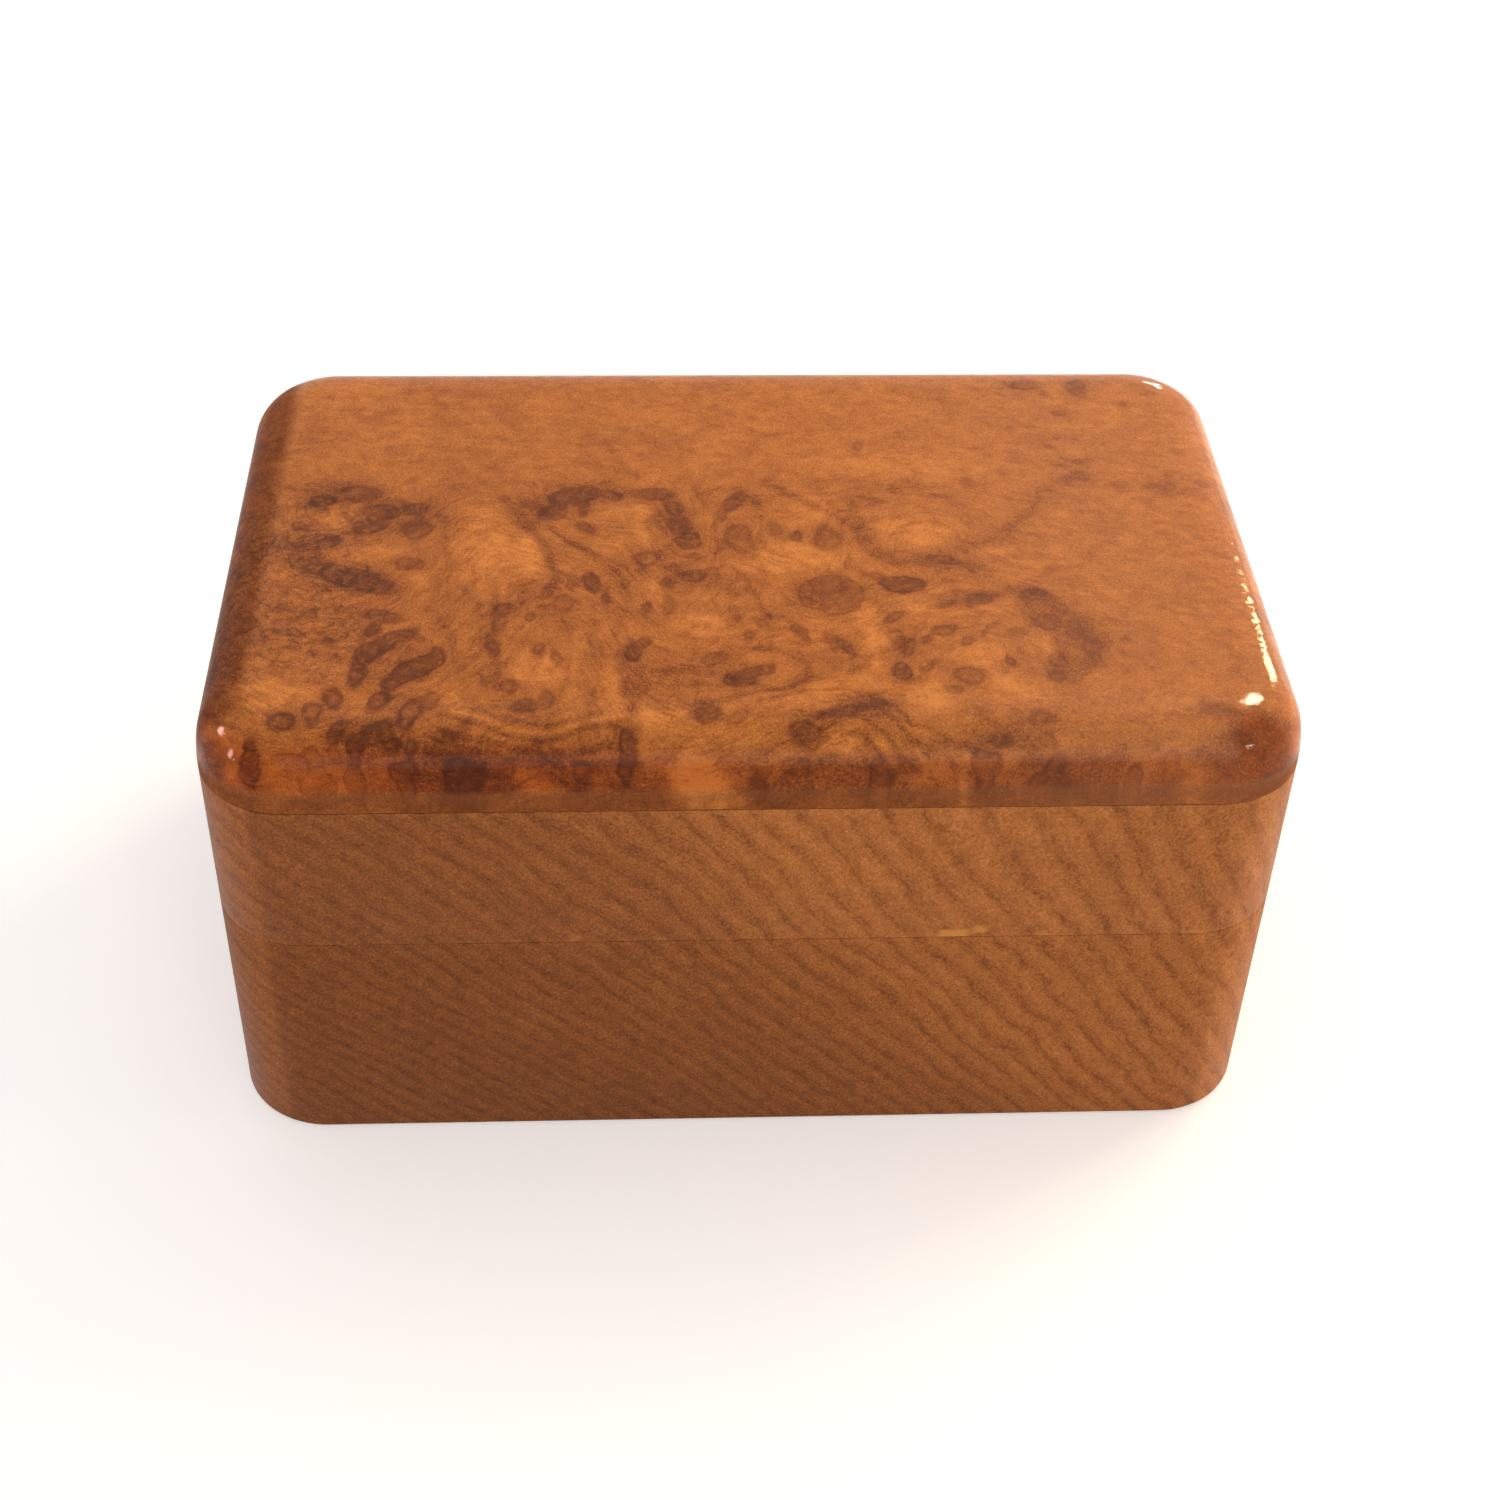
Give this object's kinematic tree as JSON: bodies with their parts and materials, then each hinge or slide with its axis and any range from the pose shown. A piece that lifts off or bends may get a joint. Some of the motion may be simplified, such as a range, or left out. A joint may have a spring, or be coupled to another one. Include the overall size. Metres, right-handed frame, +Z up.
{
  "type": "hinged keepsake box",
  "caption": "Small solid wood keepsake box with rounded corners, a thick burl plate on its lid, and a lid that swings up on brass butt hinges at the back.",
  "frame": {"origin": "centre of the box, on the surface that it stands on", "axes": "+Z up, +X along the box to the right as seen from its front, +Y from the front to the hinges at the back"},
  "size_m": [0.1, 0.0636, 0.0495],
  "materials": {
    "body_wood": "straight-grained reddish brown wood with dark slanting growth lines, clear gloss varnish",
    "burl": "reddish brown burl with dark eyes and swirling growth lines, clear high-gloss varnish",
    "floor_board": "plain brown wood board, thin satin varnish",
    "brass": "drawn brass, softly polished"
  },
  "bodies": {
    "base": {"base_body": "body_wood", "base_floor": "floor_board", "hinge_left_base_leaf": "brass", "hinge_left_pin": "brass", "hinge_left_base_screw_1": "brass", "hinge_left_base_screw_2": "brass", "hinge_right_base_leaf": "brass", "hinge_right_pin": "brass", "hinge_right_base_screw_1": "brass", "hinge_right_base_screw_2": "brass"},
    "lid": {"lid_body": "body_wood", "burl_top_plate": "burl", "hinge_left_lid_leaf": "brass", "hinge_left_lid_screw_1": "brass", "hinge_left_lid_screw_2": "brass", "hinge_right_lid_leaf": "brass", "hinge_right_lid_screw_1": "brass", "hinge_right_lid_screw_2": "brass"}
  },
  "joints": [
    {"name": "lid_hinge", "type": "hinge", "parent": "base", "child": "lid", "pos_m": [0, 0.03005, 0.0254], "axis": [-1, 0, 0], "range_deg": [0, 95]}
  ]
}
